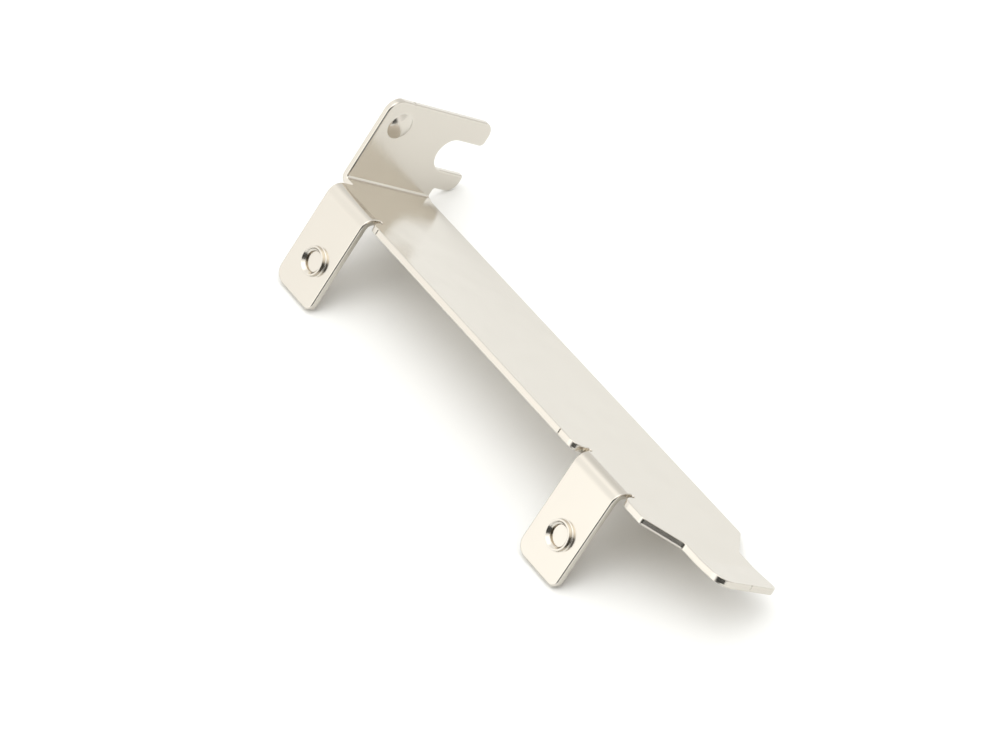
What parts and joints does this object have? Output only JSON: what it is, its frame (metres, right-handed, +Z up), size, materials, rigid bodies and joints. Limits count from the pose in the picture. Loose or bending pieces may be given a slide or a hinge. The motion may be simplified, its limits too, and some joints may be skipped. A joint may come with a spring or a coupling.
{
  "type": "expansion slot bracket",
  "caption": "Low-profile expansion slot cover: a folded sheet-metal plate with a notched screw tab, a narrow bent tongue and threaded mounting ears for a circuit board",
  "frame": {"origin": "centre of the bounding box's base, on the floor that the bracket lies on", "axes": "+X along the plate from the screw tab to the tongue, +Y across the plate from the ears' side to the notch's side, level, +Z up; the bracket lies as it rests, on the edges of its two ears and on the tab's lower prong, so the plate slopes down toward +Y"},
  "size_m": [0.0804, 0.033, 0.0184],
  "materials": {
    "nickel_plate": "smooth bright nickel plating on thin steel sheet, satin"
  },
  "bodies": {
    "root": {"bracket": "nickel_plate"}
  },
  "joints": []
}
